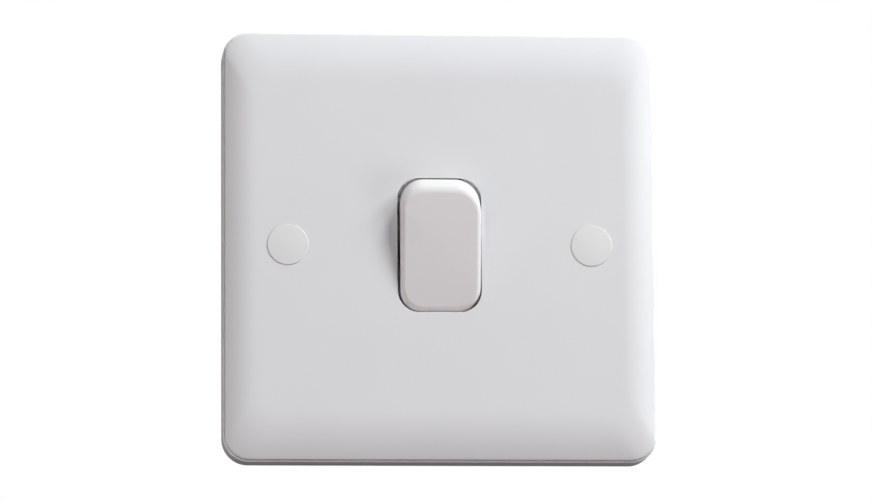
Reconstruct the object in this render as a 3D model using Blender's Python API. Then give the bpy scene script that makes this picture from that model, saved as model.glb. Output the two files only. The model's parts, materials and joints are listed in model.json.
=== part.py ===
"""One-gang rocker wall switch on a moulded plate, with its two-way mechanism.

Frame: +X right, +Z up, the wall plane is y = 0 and the front faces -Y. The origin is
the centre of the plate's rear face. The rocker is pressed in at the bottom (on).
"""

import math

import bmesh
import bpy
from mathutils import Matrix, Vector

MM = 0.001

# Plate
PLATE_HALF = 43.0
PLATE_CORNER = 5.2
FACE_Y = -9.0
FACE_THICK = 2.6
WALL_THICK = 2.6
RIM_HIGH = 6.4
LEDGE = 0.5
EDGE_SOFT = 0.25
CUSHION_DROP = 1.9
FLAT_X = 36.4
FLAT_Z = 33.0
SCREW_X = 30.15
CAP_R = 4.1
CAP_PROUD = 0.2
RECESS_DEEP = 1.6
HEAD_R = 3.3
COUNTERBORE_R = 3.7
HEAD_SEAT_Y = -4.6
SHANK_R = 1.7
CLEARANCE_R = 2.1
BOSS_R = 5.6
BOSS_REAR = -0.5
RIB_REAR = -3.4

# Rocker and its pivot
PIVOT_Y = -3.0
SWING = math.radians(9.0)
ROCKER_HALF_W = 8.0
ROCKER_END_R = 14.3
ROCKER_CORNER = 4.9
ROCKER_FRONT = -8.0
ROCKER_REAR = -1.4
EDGE_DEEP = 1.8
EDGE_SIDE = 1.2
EDGE_END = 2.0
ROCKER_WALL = 1.7
APERTURE_GAP = 0.27
APERTURE_CORNER = 4.3
TRUNNION_R = 1.4
TRUNNION_END = 10.1
LUG_R = 2.6
STEM_R = 2.7
STEM_END = 6.0
BORE_R = 1.9
BORE_END = -4.9

# Plunger and spring, along the stem from the pivot
PLUNGER_R = 1.7
PLUNGER_TIP = 12.0
SPIGOT_R = 0.8
SPRING_WIRE_R = 0.24
SPRING_TURNS = 6

# Contacts
FULCRUM_Y = 10.3
BLADE_SWING = math.radians(10.5)
BLADE_HALF_L = 9.4
BLADE_HALF_W = 2.5
BLADE_THICK = 0.8
TIP_Z = 8.0
TIP_R = 1.5
STRIP_Y = 13.4
STRIP_THICK = 0.8
STRIP_HALF_W = 2.2

# Terminals: conductor bore across, clamp screw from the rear
BLOCK_HALF_W = 4.4
BLOCK_LONG = 5.0
BLOCK_FRONT = 6.5
BLOCK_REAR = 15.1
CONDUCTOR_Y = 9.5
CONDUCTOR_R = 1.9
CLAMP_R = 1.6
CLAMP_FRONT = 11.6
CLAMP_REAR = 17.0
TERMINAL_Z = 12.6
TERMINAL_X = 15.6

# Housing
HOUSING_HALF_X = 20.0
HOUSING_HALF_Z = 17.0
HOUSING_FRONT = -1.3
HOUSING_REAR = 17.0
HOUSING_FLOOR = 15.4
BAY_CLEAR = 0.3
FASTENER_X = 15.4
FASTENER_Z = 12.4

TOUCH_GAP = 0.3
CORNER_STEPS = 6
ROUND = 28

COLOURS = {
    "plate_white": ((0.80, 0.80, 0.81), 0.22, 0.0),
    "rocker_white": ((0.76, 0.74, 0.74), 0.28, 0.0),
    "cap_white": ((0.84, 0.84, 0.83), 0.30, 0.0),
    "housing_grey": ((0.62, 0.62, 0.60), 0.50, 0.0),
    "plunger_nylon": ((0.72, 0.70, 0.64), 0.45, 0.0),
    "spring_steel": ((0.62, 0.62, 0.63), 0.30, 1.0),
    "contact_copper": ((0.72, 0.42, 0.26), 0.32, 1.0),
    "contact_silver": ((0.80, 0.79, 0.76), 0.28, 1.0),
    "terminal_brass": ((0.75, 0.58, 0.29), 0.30, 1.0),
    "zinc_steel": ((0.66, 0.66, 0.65), 0.32, 1.0),
}


def clear_scene():
    for thing in list(bpy.data.objects):
        bpy.data.objects.remove(thing, do_unlink=True)


def material(name):
    found = bpy.data.materials.get(name)
    if found:
        return found
    colour, roughness, metallic = COLOURS[name]
    made = bpy.data.materials.new(name)
    made.use_nodes = True
    shader = made.node_tree.nodes["Principled BSDF"]
    shader.inputs["Base Color"].default_value = (*colour, 1.0)
    shader.inputs["Roughness"].default_value = roughness
    shader.inputs["Metallic"].default_value = metallic
    return made


# Building blocks. Every shape below is given in millimetres.


def add_object(name, bm, look=None):
    """Makes an object from a closed bmesh, its faces turned outwards."""
    bmesh.ops.recalc_face_normals(bm, faces=bm.faces)
    bmesh.ops.scale(bm, vec=(MM, MM, MM), verts=bm.verts)
    mesh = bpy.data.meshes.new(name)
    bm.to_mesh(mesh)
    bm.free()
    made = bpy.data.objects.new(name, mesh)
    bpy.context.scene.collection.objects.link(made)
    if look:
        mesh.materials.append(material(look))
        mesh.shade_smooth()
        mesh.set_sharp_from_angle(angle=math.radians(32))
    return made


def rounded_outline(half_x, half_z, radius):
    """Points of a rounded rectangle in the XZ plane."""
    points = []
    corners = ((1, 1, 0), (-1, 1, 90), (-1, -1, 180), (1, -1, 270))
    for side_x, side_z, start in corners:
        for step in range(CORNER_STEPS + 1):
            angle = math.radians(start + 90 * step / CORNER_STEPS)
            x = side_x * (half_x - radius) + radius * math.cos(angle)
            z = side_z * (half_z - radius) + radius * math.sin(angle)
            points.append((x, z))
    return points


def loft(name, sections, look=None):
    """Closed body through rounded rectangles, each (y, half_x, half_z, radius)."""
    bm = bmesh.new()
    rings = []
    for y, half_x, half_z, radius in sections:
        outline = rounded_outline(half_x, half_z, radius)
        rings.append([bm.verts.new((x, y, z)) for x, z in outline])
    count = len(rings[0])
    for near, far in zip(rings, rings[1:]):
        for i in range(count):
            j = (i + 1) % count
            bm.faces.new((near[i], near[j], far[j], far[i]))
    bm.faces.new(rings[0])
    bm.faces.new(rings[-1])
    return add_object(name, bm, look)


def block(name, low, high, look=None, bevel=0.0):
    """Box between two corners, with all its edges rounded by bevel."""
    bm = bmesh.new()
    bmesh.ops.create_cube(bm, size=1.0)
    size = Vector(high) - Vector(low)
    middle = (Vector(high) + Vector(low)) / 2
    bmesh.ops.scale(bm, vec=size, verts=bm.verts)
    bmesh.ops.translate(bm, vec=middle, verts=bm.verts)
    if bevel:
        bmesh.ops.bevel(
            bm, geom=bm.edges[:], offset=bevel, segments=2, profile=0.5, affect="EDGES"
        )
    return add_object(name, bm, look)


def turned(name, profile, look=None, steps=ROUND, turn=None):
    """Body of revolution about the Y axis. The profile is (radius, y) points from the
    axis back to the axis; turn is a matrix that then places it."""
    bm = bmesh.new()
    rings = []
    for radius, y in profile:
        if radius == 0:
            rings.append([bm.verts.new((0, y, 0))])
            continue
        ring = []
        for step in range(steps):
            angle = 2 * math.pi * step / steps
            ring.append(bm.verts.new((radius * math.cos(angle), y, radius * math.sin(angle))))
        rings.append(ring)
    for near, far in zip(rings, rings[1:]):
        for i in range(steps):
            j = (i + 1) % steps
            if len(near) == 1:
                bm.faces.new((near[0], far[i], far[j]))
            elif len(far) == 1:
                bm.faces.new((near[i], near[j], far[0]))
            else:
                bm.faces.new((near[i], near[j], far[j], far[i]))
    if turn:
        bmesh.ops.transform(bm, matrix=turn, verts=bm.verts)
    return add_object(name, bm, look)


def rod(name, radius, start, end, look=None, steps=ROUND, turn=None):
    profile = [(0, start), (radius, start), (radius, end), (0, end)]
    return turned(name, profile, look, steps, turn)


def at(x, y, z):
    return Matrix.Translation((x, y, z))


ALONG_X = Matrix.Rotation(math.radians(-90), 4, "Z")
ALONG_Z = Matrix.Rotation(math.radians(90), 4, "X")


def boolean(body, tool, operation):
    modifier = body.modifiers.new(tool.name, "BOOLEAN")
    modifier.operation = operation
    modifier.object = tool
    tool.hide_render = True
    tool.display_type = "WIRE"


def cut(body, *tools):
    for tool in tools:
        boolean(body, tool, "DIFFERENCE")


def fuse(body, *tools):
    for tool in tools:
        boolean(body, tool, "UNION")


def keep_smooth(body):
    """Round faces shade smooth after the Booleans too."""
    for polygon in body.data.polygons:
        polygon.use_smooth = True


# Front plate


def arc_radius(width, drop):
    return (width * width + drop * drop) / (2 * drop)


def plate_sections():
    """Up the side to a narrow ledge, then over a shallow cushion to the flat face."""
    inner = PLATE_HALF - LEDGE
    shoulder = FACE_Y + CUSHION_DROP
    soft = PLATE_HALF - EDGE_SOFT
    corner = PLATE_CORNER - LEDGE
    sections = [
        (0.0, PLATE_HALF, PLATE_HALF, PLATE_CORNER),
        (EDGE_SOFT - RIM_HIGH, PLATE_HALF, PLATE_HALF, PLATE_CORNER),
        (-RIM_HIGH, soft, soft, PLATE_CORNER - EDGE_SOFT),
        (-RIM_HIGH - 0.1, inner, inner, corner),
        (shoulder + 0.15, inner, inner, corner),
    ]
    end = inner - 0.15
    bend_x = arc_radius(end - FLAT_X, CUSHION_DROP)
    bend_z = arc_radius(end - FLAT_Z, CUSHION_DROP)
    sweep = math.asin((end - FLAT_X) / bend_x)
    steps = 7
    for step in range(steps + 1):
        drop = bend_x * (1 - math.cos(sweep * (1 - step / steps)))
        half_x = FLAT_X + math.sqrt(max(0.0, drop * (2 * bend_x - drop)))
        half_z = FLAT_Z + math.sqrt(max(0.0, drop * (2 * bend_z - drop)))
        sections.append((FACE_Y + drop, half_x, half_z, corner))
    return sections


def hollow_sections():
    """The plate's open back, a wall thickness inside the outside."""
    ceiling = FACE_Y + FACE_THICK
    lip = PLATE_HALF - WALL_THICK
    return [
        (1.0, lip, lip, PLATE_CORNER - WALL_THICK + 0.6),
        (-3.0, lip, lip, PLATE_CORNER - WALL_THICK + 0.6),
        (-4.6, lip - 0.9, lip - 1.6, PLATE_CORNER - WALL_THICK + 0.6),
        (ceiling + 0.6, lip - 2.4, lip - 4.4, PLATE_CORNER - WALL_THICK + 0.4),
        (ceiling, lip - 3.4, lip - 6.0, PLATE_CORNER - WALL_THICK),
    ]


def end_half(depth, radius):
    """Half height at a depth from the pivot, on an arc about the pivot."""
    return math.sqrt(radius * radius - depth * depth)


def aperture_sections():
    radius = ROCKER_END_R + APERTURE_GAP
    half_x = ROCKER_HALF_W + APERTURE_GAP
    sections = []
    for step in range(7):
        depth = -8.0 + step
        half_z = end_half(depth, radius)
        sections.append((PIVOT_Y + depth, half_x, half_z, APERTURE_CORNER))
    return sections


def make_plate():
    plate = loft("front_plate", plate_sections(), "plate_white")
    cut(plate, loft("plate_hollow", hollow_sections()))
    ceiling = FACE_Y + FACE_THICK
    root = ceiling - 0.8
    for side, sign in (("left", -1), ("right", 1)):
        place = at(sign * SCREW_X, 0, 0)
        fuse(plate, rod("boss_" + side, BOSS_R, root, BOSS_REAR, steps=34, turn=place))
        rib_from, rib_to = sorted((sign * 12.0, sign * 40.9))
        rib = block("rib_" + side, (rib_from, root + 0.2, -0.7), (rib_to, RIB_REAR, 0.7))
        fuse(plate, rib)
        ear = block(
            "ear_" + side,
            (min(sign * 8.4, sign * 10.6), root, -3.4),
            (max(sign * 8.4, sign * 10.6), -1.6, 3.4),
        )
        fuse(plate, ear)
    for name, sign in (("upper", -1), ("lower", 1)):
        place = at(sign * FASTENER_X, 0, -sign * FASTENER_Z)
        fuse(plate, rod("seat_" + name, 2.9, root, -1.6, turn=place))
        cut(plate, rod("pilot_" + name, 1.45, -5.6, 0.0, steps=20, turn=place))
    cut(plate, loft("aperture", aperture_sections()))
    slot_half = TRUNNION_R + 0.15
    for side, sign in (("left", -1), ("right", 1)):
        pivot = at(sign * 9.6, PIVOT_Y, 0) @ ALONG_X
        cut(plate, rod("cradle_" + side, slot_half, -2.2, 2.2, turn=pivot))
        slot_from, slot_to = sorted((sign * 7.6, sign * 11.6))
        low = (slot_from, PIVOT_Y, -slot_half + 0.01)
        cut(plate, block("slot_" + side, low, (slot_to, 0.4, slot_half - 0.01)))
    recess_floor = FACE_Y + RECESS_DEEP
    recess_r = CAP_R + 0.12
    for side, sign in (("left", -1), ("right", 1)):
        profile = [
            (0, FACE_Y - 1),
            (recess_r, FACE_Y - 1),
            (recess_r, recess_floor),
            (COUNTERBORE_R, recess_floor),
            (COUNTERBORE_R, HEAD_SEAT_Y),
            (CLEARANCE_R, HEAD_SEAT_Y),
            (CLEARANCE_R, 1.0),
            (0, 1.0),
        ]
        cut(plate, turned("screw_way_" + side, profile, turn=at(sign * SCREW_X, 0, 0)))
    keep_smooth(plate)
    return plate


# Rocker. These shapes are about the pivot, before it is turned to its resting place.


def rocker_sections(inset, front, rear, corner):
    """Loft whose ends follow an arc about the pivot, with a rounded front edge."""
    sections = []
    edge_steps = 6
    for step in range(edge_steps + 1):
        turn = math.radians(90) * step / edge_steps
        depth = front + EDGE_DEEP * (1 - math.cos(turn))
        pulled = 1 - math.sin(turn)
        half_x = ROCKER_HALF_W - inset - EDGE_SIDE * pulled
        half_z = end_half(depth, ROCKER_END_R - inset) - EDGE_END * pulled
        sections.append((depth, half_x, half_z, corner - 0.8 * pulled))
    body_steps = 3
    start = front + EDGE_DEEP
    for step in range(1, body_steps + 1):
        depth = start + (rear - start) * step / body_steps
        half_z = end_half(depth, ROCKER_END_R - inset)
        sections.append((depth, ROCKER_HALF_W - inset, half_z, corner))
    return sections


def rocker_frame():
    """The empty on the hinge axis, turned to the resting place."""
    axis = bpy.data.objects.new("rocker_axis", None)
    bpy.context.scene.collection.objects.link(axis)
    axis.location = (0, PIVOT_Y * MM, 0)
    axis.rotation_euler = (SWING, 0, 0)
    return axis


def hang(axis, *pieces):
    for piece in pieces:
        piece.parent = axis


def make_rocker(axis):
    outside = rocker_sections(0.0, ROCKER_FRONT, ROCKER_REAR, ROCKER_CORNER)
    rocker = loft("rocker", outside, "rocker_white")
    inner_front = ROCKER_FRONT + ROCKER_WALL
    inside = rocker_sections(ROCKER_WALL, inner_front, 1.0, ROCKER_CORNER - ROCKER_WALL)
    hollow = loft("rocker_hollow", inside)
    cut(rocker, hollow)
    stem = rod("rocker_stem", STEM_R, inner_front - 0.5, STEM_END)
    web = block("rocker_web", (-7.0, inner_front - 0.5, -0.6), (7.0, -0.4, 0.6))
    fuse(rocker, web, stem)
    tools = [hollow, stem, web]
    for side, sign in (("left", -1), ("right", 1)):
        place = at(sign * (ROCKER_HALF_W - ROCKER_WALL / 2), 0, 0) @ ALONG_X
        lug_half = ROCKER_WALL / 2 - 0.1
        lug = rod("lug_" + side, LUG_R, -lug_half, lug_half, turn=place)
        middle = sign * (7.0 + TRUNNION_END) / 2
        reach = (TRUNNION_END - 7.0) / 2
        pin_place = at(middle, 0, 0) @ ALONG_X
        pin = rod("trunnion_" + side, TRUNNION_R, -reach, reach, turn=pin_place)
        fuse(rocker, lug, pin)
        tools += [lug, pin]
    bore = rod("rocker_bore", BORE_R, BORE_END, STEM_END + 1)
    cut(rocker, bore)
    tools.append(bore)
    hang(axis, rocker, *tools)
    keep_smooth(rocker)


def make_plunger(axis):
    profile = [(0, 1.2), (SPIGOT_R, 1.2), (SPIGOT_R, 2.4), (PLUNGER_R, 2.4)]
    dome_steps = 6
    dome_centre = PLUNGER_TIP - PLUNGER_R
    for step in range(dome_steps):
        turn = math.radians(90) * step / dome_steps
        radius = PLUNGER_R * math.cos(turn)
        profile.append((radius, dome_centre + PLUNGER_R * math.sin(turn)))
    profile.append((0, PLUNGER_TIP))
    plunger = turned("plunger", profile, "plunger_nylon", steps=24)
    hang(axis, plunger)


def make_spring(axis):
    """Coil from the bore's blind end to the plunger's shoulder."""
    low = BORE_END + TOUCH_GAP + SPRING_WIRE_R
    high = 2.4 - TOUCH_GAP - SPRING_WIRE_R
    mean_r = PLUNGER_R - SPRING_WIRE_R - 0.1
    per_turn = 12
    count = SPRING_TURNS * per_turn
    curve = bpy.data.curves.new("plunger_spring", "CURVE")
    curve.dimensions = "3D"
    curve.bevel_depth = SPRING_WIRE_R * MM
    curve.bevel_resolution = 1
    curve.use_fill_caps = True
    line = curve.splines.new("POLY")
    line.points.add(count)
    for i, point in enumerate(line.points):
        angle = 2 * math.pi * i / per_turn
        y = low + (high - low) * i / count
        x = mean_r * math.cos(angle)
        z = mean_r * math.sin(angle)
        point.co = (x * MM, y * MM, z * MM, 1)
    curve.materials.append(material("spring_steel"))
    spring = bpy.data.objects.new("plunger_spring", curve)
    bpy.context.scene.collection.objects.link(spring)
    hang(axis, spring)


# Moving contact: a see-saw blade turned the other way from the rocker


def make_moving_contact():
    axis = bpy.data.objects.new("contact_axis", None)
    bpy.context.scene.collection.objects.link(axis)
    axis.location = (0, FULCRUM_Y * MM, 0)
    axis.rotation_euler = (-BLADE_SWING, 0, 0)
    back = 9.95 - FULCRUM_Y
    front = back - BLADE_THICK
    blade = block(
        "moving_contact",
        (-BLADE_HALF_W, front, -BLADE_HALF_L),
        (BLADE_HALF_W, back, BLADE_HALF_L),
        "contact_copper",
        bevel=0.15,
    )
    ears = block("blade_ears", (-3.7, front + 0.1, -1.3), (3.7, back - 0.1, 1.3))
    fuse(blade, ears)
    hang(axis, blade, ears)
    for name, sign in (("upper", 1), ("lower", -1)):
        start = back + 0.1
        profile = [
            (0, start),
            (TIP_R, start),
            (TIP_R, start + 0.5),
            (TIP_R * 0.75, start + 0.75),
            (0, start + 0.9),
        ]
        tip = turned(
            "moving_tip_" + name, profile, "contact_silver", 24, at(0, 0, sign * TIP_Z)
        )
        hang(axis, tip)


def make_fixed_contacts():
    ridge_base = 12.4
    bracket = block(
        "common_bracket",
        (-3.6, ridge_base, -2.4),
        (TERMINAL_X - BLOCK_LONG / 2 - TOUCH_GAP, ridge_base + STRIP_THICK, 2.4),
        "terminal_brass",
    )
    bm = bmesh.new()
    ends = []
    for x in (-2.2, 2.2):
        corners = ((ridge_base + 0.3, -1.5), (ridge_base + 0.3, 1.5), (10.15, 0.12), (10.15, -0.12))
        ends.append([bm.verts.new((x, y, z)) for y, z in corners])
    near, far = ends
    for i in range(4):
        j = (i + 1) % 4
        bm.faces.new((near[i], near[j], far[j], far[i]))
    bm.faces.new(near)
    bm.faces.new(far)
    fuse(bracket, add_object("fulcrum_ridge", bm))
    for name, sign in (("upper", 1), ("lower", -1)):
        inner = sign * 6.3
        outer = sign * (TERMINAL_Z - BLOCK_LONG / 2 - TOUCH_GAP)
        block(
            "strip_" + name,
            (-STRIP_HALF_W, STRIP_Y, min(inner, outer)),
            (STRIP_HALF_W, STRIP_Y + STRIP_THICK, max(inner, outer)),
            "terminal_brass",
            bevel=0.1,
        )
        profile = [(0, 12.7), (TIP_R, 12.7), (TIP_R, 13.3), (0, 13.3)]
        turned("fixed_tip_" + name, profile, "contact_silver", 24, at(0, 0, sign * TIP_Z))


# Terminals


def make_terminal(name, x, z, across):
    """Pillar with its conductor bore along X or Z (across) and a clamp screw behind."""
    half_long = BLOCK_LONG / 2
    half_x = half_long if across == "X" else BLOCK_HALF_W
    half_z = half_long if across == "Z" else BLOCK_HALF_W
    body = block(
        "terminal_" + name,
        (x - half_x, BLOCK_FRONT, z - half_z),
        (x + half_x, BLOCK_REAR, z + half_z),
        "terminal_brass",
        bevel=0.25,
    )
    turn = at(x, CONDUCTOR_Y, z) @ (ALONG_X if across == "X" else ALONG_Z)
    way = rod("way_" + name, CONDUCTOR_R, -half_long - 1, half_long + 1, turn=turn)
    tapped = rod("tapped_" + name, CLAMP_R + 0.15, CONDUCTOR_Y, BLOCK_REAR + 1, turn=at(x, 0, z))
    cut(body, way, tapped)
    keep_smooth(body)
    profile = [
        (0, CLAMP_FRONT),
        (CLAMP_R - 0.5, CLAMP_FRONT),
        (CLAMP_R, CLAMP_FRONT + 0.5),
        (CLAMP_R, CLAMP_REAR - 0.25),
        (CLAMP_R - 0.25, CLAMP_REAR),
        (0, CLAMP_REAR),
    ]
    screw = turned("clamp_screw_" + name, profile, "zinc_steel", 24, at(x, 0, z))
    slot = block(
        "clamp_slot_" + name,
        (x - 2.0, CLAMP_REAR - 0.9, z - 0.28),
        (x + 2.0, CLAMP_REAR + 1.0, z + 0.28),
    )
    cut(screw, slot)
    keep_smooth(screw)


# Rear housing


def make_housing():
    back_edge = 1.2
    sections = [
        (HOUSING_FRONT, HOUSING_HALF_X, HOUSING_HALF_Z, 2.6),
        (HOUSING_REAR - back_edge, HOUSING_HALF_X, HOUSING_HALF_Z, 2.6),
        (HOUSING_REAR - 0.4, HOUSING_HALF_X - 0.4, HOUSING_HALF_Z - 0.4, 2.3),
        (HOUSING_REAR, HOUSING_HALF_X - back_edge, HOUSING_HALF_Z - back_edge, 1.8),
    ]
    housing = loft("rear_housing", sections, "housing_grey")
    front = HOUSING_FRONT - 1
    cut(
        housing,
        block("chamber", (-8.3, front, -9.9), (8.3, HOUSING_FLOOR, 9.9)),
    )
    bay_half = BLOCK_HALF_W + BAY_CLEAR
    outer_z = TERMINAL_Z + BLOCK_LONG / 2 + BAY_CLEAR
    outer_x = TERMINAL_X + BLOCK_LONG / 2 + BAY_CLEAR
    for name, sign in (("upper", 1), ("lower", -1)):
        low = (-bay_half, front, min(sign * 9.0, sign * outer_z))
        high = (bay_half, HOUSING_FLOOR, max(sign * 9.0, sign * outer_z))
        cut(housing, block("bay_" + name, low, high))
        access = at(0, 0, sign * TERMINAL_Z)
        cut(housing, rod("access_" + name, 2.15, 14.0, 18.0, turn=access))
        entry = at(0, CONDUCTOR_Y, sign * HOUSING_HALF_Z) @ ALONG_Z
        cut(housing, rod("entry_" + name, 2.1, -2.5, 2.5, turn=entry))
        pad = block(
            "stop_" + name,
            (5.3, HOUSING_FRONT - 0.62, min(sign * 11.0, sign * 13.4)),
            (7.7, HOUSING_FRONT + 1.0, max(sign * 11.0, sign * 13.4)),
        )
        other = block(
            "stop_far_" + name,
            (-7.7, HOUSING_FRONT - 0.62, min(sign * 11.0, sign * 13.4)),
            (-5.3, HOUSING_FRONT + 1.0, max(sign * 11.0, sign * 13.4)),
        )
        fuse(housing, pad, other)
    cut(housing, block("bay_common", (7.5, front, -bay_half), (outer_x, HOUSING_FLOOR, bay_half)))
    cut(housing, rod("access_common", 2.15, 14.0, 18.0, turn=at(TERMINAL_X, 0, 0)))
    entry = at(HOUSING_HALF_X, CONDUCTOR_Y, 0) @ ALONG_X
    cut(housing, rod("entry_common", 2.1, -2.5, 2.5, turn=entry))
    cut(housing, block("core_side", (-18.4, 1.4, -8.2), (-9.9, 18.0, 8.2), bevel=0.6))
    cut(housing, block("core_low", (-18.4, 1.4, -15.4), (-6.4, 18.0, -10.6), bevel=0.6))
    cut(housing, block("core_high", (6.4, 1.4, 10.6), (18.4, 18.0, 15.4), bevel=0.6))
    for name, sign in (("upper", -1), ("lower", 1)):
        place = at(sign * FASTENER_X, 0, -sign * FASTENER_Z)
        profile = [(0, -3.0), (1.7, -3.0), (1.7, 1.2), (2.9, 1.2), (2.9, 18.0), (0, 18.0)]
        cut(housing, turned("screw_well_" + name, profile, turn=place))
    keep_smooth(housing)


# Fasteners and caps


def slotted_screw(name, head, seat, shank_r, tip, place, slot_turn=0.0):
    """Pan-head screw. Its head lies from seat to seat + head[1], its tip at y = tip."""
    head_r, head_high = head
    way = -1 if tip > seat else 1
    crown = seat + way * head_high
    profile = [
        (0, crown),
        (head_r * 0.62, crown),
        (head_r * 0.92, crown - way * head_high * 0.35),
        (head_r, crown - way * head_high * 0.7),
        (head_r, seat),
        (shank_r, seat),
        (shank_r, tip + way * 0.9),
        (shank_r * 0.5, tip),
        (0, tip),
    ]
    screw = turned(name, profile, "zinc_steel", 28, place)
    depth = head_high * 0.55
    slot = block(
        name + "_slot",
        (-head_r - 1, min(crown - way * depth, crown + way), -0.5),
        (head_r + 1, max(crown - way * depth, crown + way), 0.5),
    )
    slot.data.transform(place_metres(place) @ Matrix.Rotation(slot_turn, 4, "Y"))
    cut(screw, slot)
    keep_smooth(screw)


def place_metres(place):
    return Matrix.Translation(place.to_translation() * MM)


def make_fasteners():
    for side, sign, slot_turn in (("left", -1, 0.45), ("right", 1, 1.1)):
        slotted_screw(
            "fixing_screw_" + side,
            (HEAD_R, 2.1),
            HEAD_SEAT_Y - TOUCH_GAP,
            SHANK_R,
            20.1,
            at(sign * SCREW_X, 0, 0),
            slot_turn,
        )
    for name, sign, slot_turn in (("upper", -1, 0.3), ("lower", 1, 0.9)):
        slotted_screw(
            "housing_screw_" + name,
            (2.3, 1.6),
            1.2 + TOUCH_GAP,
            1.25,
            -5.2,
            at(sign * FASTENER_X, 0, -sign * FASTENER_Z),
            slot_turn,
        )


def make_caps():
    front = FACE_Y - CAP_PROUD
    floor = FACE_Y + RECESS_DEEP - TOUCH_GAP
    for side, sign in (("left", -1), ("right", 1)):
        profile = [
            (0, front),
            (CAP_R - 0.2, front),
            (CAP_R, front + 0.15),
            (CAP_R, floor),
            (COUNTERBORE_R - 0.2, floor),
            (COUNTERBORE_R - 0.2, floor + 0.4),
            (0, floor + 0.4),
        ]
        turned("cap_" + side, profile, "cap_white", 40, at(sign * SCREW_X, 0, 0))


def main():
    clear_scene()
    make_plate()
    make_housing()
    axis = rocker_frame()
    make_rocker(axis)
    make_plunger(axis)
    make_spring(axis)
    make_moving_contact()
    make_fixed_contacts()
    make_terminal("upper", 0, TERMINAL_Z, "Z")
    make_terminal("lower", 0, -TERMINAL_Z, "Z")
    make_terminal("common", TERMINAL_X, 0, "X")
    make_fasteners()
    make_caps()


main()
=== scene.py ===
"""Looks of the one-gang rocker wall switch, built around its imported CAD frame.

Every piece is rebuilt as a fine mesh in the place its CAD node holds. Shapes are made in
millimetres about the CAD axes and turned into metres as each object is made.
"""

import json
import math

import bmesh
import bpy
from mathutils import Matrix, Vector


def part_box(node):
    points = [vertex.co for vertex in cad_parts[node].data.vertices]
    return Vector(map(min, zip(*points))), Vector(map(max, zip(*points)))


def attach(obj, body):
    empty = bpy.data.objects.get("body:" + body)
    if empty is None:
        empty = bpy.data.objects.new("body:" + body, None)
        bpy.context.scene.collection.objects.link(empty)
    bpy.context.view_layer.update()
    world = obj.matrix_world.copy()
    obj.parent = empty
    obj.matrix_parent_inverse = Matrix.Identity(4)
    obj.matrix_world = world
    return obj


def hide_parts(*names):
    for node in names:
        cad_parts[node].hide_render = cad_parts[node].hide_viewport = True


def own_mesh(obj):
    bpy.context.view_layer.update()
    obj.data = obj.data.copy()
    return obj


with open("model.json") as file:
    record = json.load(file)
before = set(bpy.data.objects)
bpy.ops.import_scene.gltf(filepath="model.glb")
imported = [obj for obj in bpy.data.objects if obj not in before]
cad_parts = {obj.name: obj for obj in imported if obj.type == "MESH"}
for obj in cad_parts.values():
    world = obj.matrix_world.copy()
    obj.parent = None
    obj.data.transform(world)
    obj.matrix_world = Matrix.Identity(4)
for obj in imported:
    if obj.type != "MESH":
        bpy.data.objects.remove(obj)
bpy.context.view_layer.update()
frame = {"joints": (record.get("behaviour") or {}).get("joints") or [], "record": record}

MM = 0.001


# Places and sizes that come from the frame


def box_mm(node):
    low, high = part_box(node)
    return Vector(low) / MM, Vector(high) / MM


def joint(name):
    return next(j for j in frame["joints"] if j["name"] == name)


BODY_OF = {
    node: body
    for body, nodes in frame["record"]["behaviour"]["bodies"].items()
    for node in nodes
}

plate_low, plate_high = box_mm("front_plate")
housing_low, housing_high = box_mm("rear_housing")
cap_low, cap_high = box_mm("cap_right")

PLATE_HALF = plate_high.x
FACE_Y = plate_low.y
SCREW_X = (cap_low.x + cap_high.x) / 2
CAP_R = (cap_high.x - cap_low.x) / 2
CAP_FRONT = cap_low.y
PIVOT_Y = joint("rocker_tilt")["pos_m"][1] / MM
SWING = math.radians(joint("rocker_tilt")["range_deg"][1]) / 2
FULCRUM_Y = joint("contact_rock")["pos_m"][1] / MM
BLADE_SWING = math.radians(joint("contact_rock")["range_deg"][1]) / 2

# Plate
PLATE_CORNER = 5.2
FACE_THICK = 2.6
WALL_THICK = 2.6
RIM_HIGH = 6.4
LEDGE = 0.28
GROOVE_WIDE = 0.12
GROOVE_DEEP = 0.15
CUSHION_DROP = 1.5
FLAT_X = 36.4
FLAT_Z = 33.0
RECESS_DEEP = 1.6
COUNTERBORE_R = 3.7
HEAD_SEAT_Y = -4.6
CLEARANCE_R = 2.1
LIP = 0.12
HOLLOW_BEND = -3.0
HOLLOW_IN_X = 3.4
HOLLOW_IN_Z = 6.0
HOLLOW_EASE = 0.6
BOSS_R = 5.6
BOSS_REAR = -0.5
RIB_REACH = (12.0, 40.9)
RIB_REAR = -3.4
RIB_HALF = 0.7
EAR_REACH = (8.4, 10.6)
EAR_REAR = -1.6
EAR_HALF = 3.4
SEAT_R = 2.9
SEAT_REAR = -1.6
PILOT_R = 1.45
PILOT_FRONT = -5.6
SLOT_REACH = (7.6, 11.6)
SLOT_REAR = 0.4

# Rocker
ROCKER_HALF_W = 8.0
ROCKER_END_R = 14.45
ROCKER_SLACK = 0.1
ROCKER_CORNER = 4.6
CORNER_EASE = 0.45
ROCKER_FRONT = -8.0
ROCKER_REAR = -1.4
EDGE_DEEP = 0.85
EDGE_SIDE = 1.0
CROWN = 0.35
ROCKER_WALL = 1.7
APERTURE_GAP = 0.2
APERTURE_SLACK = 0.25
APERTURE_CORNER = 4.3
TRUNNION_R = 1.4
STEM_R = 2.7
STEM_END = 6.0
BORE_R = 1.9
BORE_END = -4.9
PLUNGER_R = 1.7
PLUNGER_TIP = 12.0

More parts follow.
